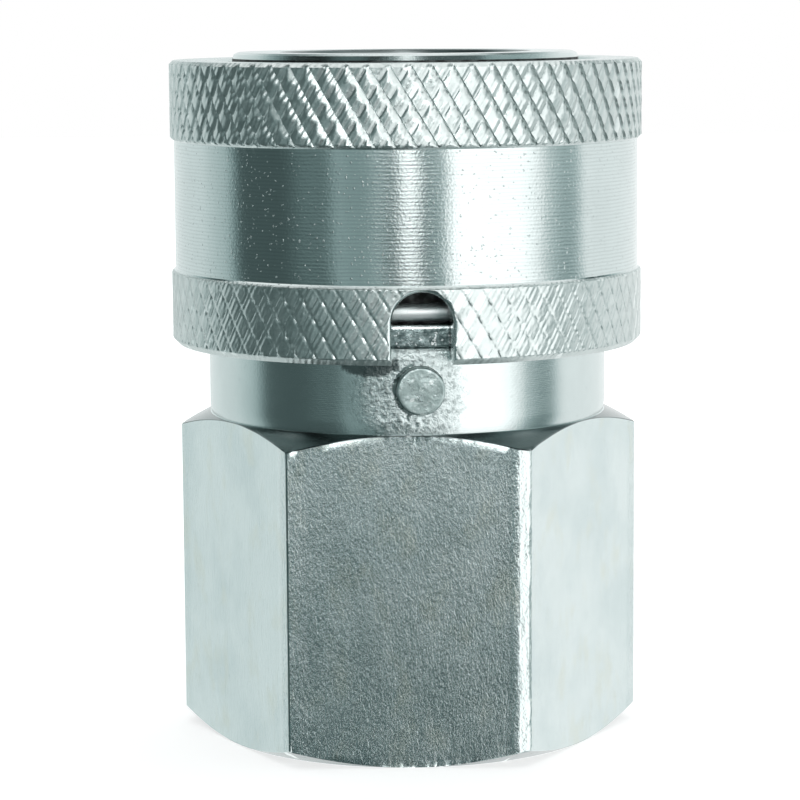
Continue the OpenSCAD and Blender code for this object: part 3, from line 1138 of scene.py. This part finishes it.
# The rest of the studio. A pair is where a light or a flag begins and where it is full, and
# two more numbers are its levels there. Turns are in radians from the camera's side; heights
# are the sine of the angle above the object.
DARK_CEILING = (0.32, 0.6, 1.0, 0.05)
BEHIND_TURN, BEHIND_HEIGHT = (1.3, 1.6), (0.6, 0.72)
OVERHEAD_HEIGHT, OVERHEAD_LEVEL = (0.91, 0.97), 1.2
TABLE_TURN, TABLE_HEIGHT, TABLE_SHADE = (1.9, 1.4), (-0.3, -0.6), 0.5
TABLE_EDGE = (-0.12, -0.098)
PANEL_TURN, PANEL_FOOT, PANEL_HEAD, PANEL_LEVEL = (0.35, 0.15), (0.05, 0.16), (0.5, 0.35), 3.0
PANEL_GLOW = 0.08
STRIP_MIDDLE, STRIP_TURN, STRIP_LEVEL = 0.03, (0.12, 0.03), 1.6
LEFT_GLOW = ((-1.1, -0.85), (-0.5, -0.6, 0.0, 0.15))
RIGHT_GLOW = ((1.0, 1.15), (1.8, 1.65, 0.0, 0.38))


def build_world():
    """What the metal reflects. The camera itself sees plain white paper."""
    world = bpy.data.worlds.new("studio")
    scene.world = world
    g = Graph(world)
    x, y, z = g.parts(g.place("Generated"))
    turn = g.math("ARCTAN2", x, g.times(y, -1.0))
    aside = g.math("ABSOLUTE", turn)
    share = g.math("MULTIPLY_ADD", turn, 0.5 / math.pi, 0.5)
    curve = g.node("ShaderNodeFloatCurve")
    points = curve.mapping.curves[0].points
    rows = [((angle + 180) / 360, level / STUDIO_TOP) for angle, level in STUDIO_ROUND]
    points[0].location = rows[0]
    points[1].location = rows[-1]
    for place, level in rows[1:-1]:
        points.new(place, level)
    for point in points:
        point.handle_type = "VECTOR"
    curve.mapping.update()
    g.put(curve.inputs["Value"], share)
    level = g.times(curve.outputs[0], STUDIO_TOP)
    # a dark ceiling, with a light overhead and one high up behind
    level = g.times(level, g.ramp(z, *DARK_CEILING))
    behind = g.times(g.ramp(aside, *BEHIND_TURN), g.ramp(z, *BEHIND_HEIGHT))
    overhead = g.math("MAXIMUM", behind, g.ramp(z, *OVERHEAD_HEIGHT))
    level = g.math("MULTIPLY_ADD", overhead, OVERHEAD_LEVEL, level)
    # the table in front is in shade
    below = g.times(g.ramp(aside, *TABLE_TURN), g.ramp(z, *TABLE_HEIGHT))
    level = g.times(level, g.math("MULTIPLY_ADD", below, -TABLE_SHADE, 1.0))
    # a soft panel behind the camera, with a faint glow down to the table's edge
    above_table = g.ramp(z, *TABLE_EDGE)
    panel = g.times(g.ramp(z, *PANEL_FOOT), g.ramp(z, *PANEL_HEAD))
    panel = g.math("MULTIPLY_ADD", above_table, PANEL_GLOW, panel)
    panel = g.times(g.ramp(aside, *PANEL_TURN), panel)
    level = g.math("MULTIPLY_ADD", panel, PANEL_LEVEL, level)
    # a narrow upright strip in front, and weak glows on the left and the right
    strip = g.math("ABSOLUTE", g.math("SUBTRACT", turn, STRIP_MIDDLE))
    strip = g.times(g.ramp(strip, *STRIP_TURN), above_table)
    level = g.math("MULTIPLY_ADD", strip, STRIP_LEVEL, level)
    glows = [g.times(g.ramp(turn, *rise), g.ramp(turn, *fall))
             for rise, fall in (LEFT_GLOW, RIGHT_GLOW)]
    level = g.math("ADD", g.times(g.math("ADD", *glows), above_table), level)
    tint = g.ramp(level, 0.0, 1.3)
    colour = g.mix(tint, rgb(0.68, 1.0, 1.0), rgb(1.0, 1.0, 1.0))
    studio = g.wired("ShaderNodeBackground", {"Color": colour, "Strength": level})
    paper = g.wired("ShaderNodeBackground", {"Color": rgb(1.0, 1.0, 1.0), "Strength": 1.0})
    seen = g.node("ShaderNodeLightPath").outputs["Is Camera Ray"]
    both = g.wired("ShaderNodeMixShader", {0: seen, 1: studio, 2: paper})
    g.put(g.node("ShaderNodeOutputWorld").inputs["Surface"], both)


def build_floor():
    """A pale sheet under the object. It takes the soft shadow and isn't seen in the metal."""
    half, rows = 0.9, 24
    points, faces = [], []
    for i in range(rows + 1):
        for j in range(rows + 1):
            points.append(((i / rows * 2 - 1) * half / MM, (j / rows * 2 - 1) * half / MM, -0.02))
    for i in range(rows):
        for j in range(rows):
            a = i * (rows + 1) + j
            faces.append((a, a + rows + 1, a + rows + 2, a + 1))
    floor = make_object("floor", points, faces)
    material = bpy.data.materials.new("floor_paper")
    g = Graph(material)
    diffuse = g.wired("ShaderNodeBsdfDiffuse", {"Color": rgb(0.55, 0.55, 0.55)})
    values = {0: g.place("Object")}
    middle = g.wired("ShaderNodeVectorMath", values, "Value", operation="LENGTH")
    glow = g.wired("ShaderNodeEmission", {"Strength": g.ramp(middle, 0.02, 0.07, 0.7, 1.0)})
    both = g.wired("ShaderNodeAddShader", {0: diffuse, 1: glow})
    g.put(g.node("ShaderNodeOutputMaterial").inputs["Surface"], both)
    floor.data.materials.append(material)
    floor.visible_glossy = False


build_camera()
build_world()
build_floor()
scene.view_settings.view_transform = "Standard"
scene.view_settings.look = "None"

NICKEL = (0.61, 0.675, 0.67)
waist_nickel = nickel("nickel_waist", NICKEL, 0.17, 0.235, 0.0022, 0.002, anisotropic=0.7,
                      grain=0.007, line_tone=0.3, pits=0.018, hollow_shade=0.85)
inner_nickel = nickel("nickel_inside", NICKEL, 0.26, 0.2, 0.003, 0.004)
neck_nickel = nickel("nickel_neck", NICKEL, 0.2, 0.12, 0.0006, 0.003, staked=True)
edge_nickel = nickel("nickel_edges", NICKEL, 0.2, 0.4, 0.0, 0.002, grain=0.02)
# painted shade: the hexagon's chamfers are tinted dark for the shade and dark reflections on them
shaded_chamfer_nickel = nickel("nickel_chamfer_painted_shade", (0.22, 0.255, 0.255), 0.14, 0.15, 0.0008, 0.002)
# grease and painted shade: the tube inside the sleeve is tinted near black
tube_nickel = rough_steel("nickel_grease_and_shade", (0.09, 0.10, 0.10), (0.03, 0.03, 0.03), 0.55, 1.2, 0.01)
# painted shade: the bore and the thread are tinted dark for the shade inside them
shaded_bore_nickel = nickel("nickel_bore_painted_shade", (0.24, 0.265, 0.265), 0.3, 0.25, 0.003, 0.004, worn=False)

dress(build_sleeve([knurled_nickel(), waist_nickel, inner_nickel]),
      "sleeve_body", "sleeve", 38)
dress(build_body([flat_nickel(), neck_nickel, shaded_bore_nickel, tube_nickel, edge_nickel,
                  shaded_chamfer_nickel]),
      "root", "body", 22)
dress(build_pin(), "root", "lock_pin", 50,
      rough_steel("pin_sheared", (0.53, 0.62, 0.61), (0.34, 0.42, 0.41), 0.42, 1.5, 0.03,
                  specks=0.3))
spring = dress(build_spring(), "spring_pack", "sleeve_spring", 50,
               drawn_wire("spring_wire", (0.92, 0.95, 0.95), 0.4))
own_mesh(spring)
# painted shade: the washer is tinted dark for the shade in the slot under the sleeve
washer_shade_steel = rough_steel("washer_painted_shade", (0.30, 0.37, 0.37), (0.10, 0.14, 0.14), 0.42, 2.2, 0.035,
                         specks=0.8)
# painted highlight: the washer's top rim is tinted pale where it catches the light from above
washer_highlight_steel = rough_steel("washer_painted_highlight", (0.90, 0.94, 0.94), (0.55, 0.62, 0.62), 0.36, 2.2, 0.02)
dress(build_washer([washer_shade_steel, washer_highlight_steel]),
      "spring_pack", "spring_seat_washer", 50)
dress(build_retaining_ring(), "root", "retaining_ring", 50,
      drawn_wire("ring_wire", (0.5, 0.51, 0.52), 0.26))
dress(build_seal(), "root", "o_ring", 60,
      soft_material("nitrile", (0.018, 0.018, 0.019), (0.05, 0.05, 0.05), 0.42, 0.004))
dress(build_backup_ring(), "root", "backup_ring", 40,
      soft_material("fluoropolymer", (0.84, 0.84, 0.79), (0.74, 0.74, 0.68), 0.5, 0.006))
ball_finish = polished_ball()
for number in range(1, BALL_COUNT + 1):
    dress(build_ball(number), f"ball_{number}_body", f"ball_{number}", 60,
          ball_finish)
